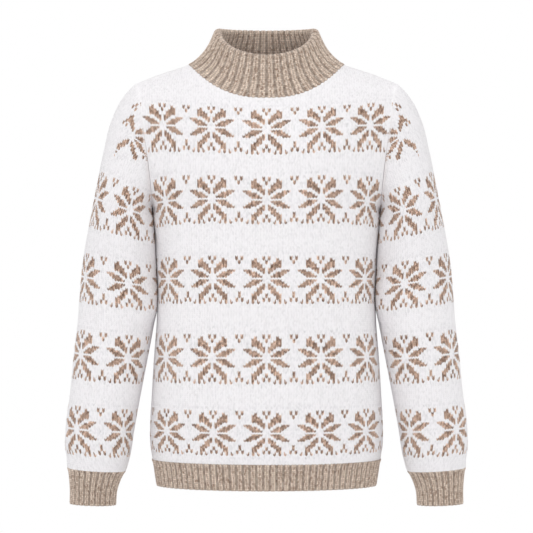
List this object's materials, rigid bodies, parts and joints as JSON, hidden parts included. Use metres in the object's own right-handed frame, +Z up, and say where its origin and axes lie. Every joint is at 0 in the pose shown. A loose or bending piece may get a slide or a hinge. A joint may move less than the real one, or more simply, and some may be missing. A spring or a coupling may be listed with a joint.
{
  "type": "christmas sweater",
  "caption": "Hollow knitted mock-neck pullover in its worn shape, open at neck, hem and cuffs, with ribbed edges and bands of snowflakes.",
  "frame": {"origin": "middle of the neck, level with the two neck points, where the wearer's shoulders carry it", "axes": "+Z up, the front faces -Y, +X to the right as the front is seen"},
  "size_m": [0.5732, 0.2311, 0.681],
  "materials": {
    "ivory_knit": "matt wool knit with brown stranded snowflakes",
    "taupe_rib": "matt marled wool in two-by-two rib"
  },
  "bodies": {
    "root": {"front": "ivory_knit", "back": "ivory_knit", "sleeve_right": "ivory_knit", "sleeve_left": "ivory_knit", "hem_rib_front": "taupe_rib", "hem_rib_back": "taupe_rib", "collar": "taupe_rib", "cuff_right": "taupe_rib", "cuff_left": "taupe_rib"}
  },
  "joints": []
}
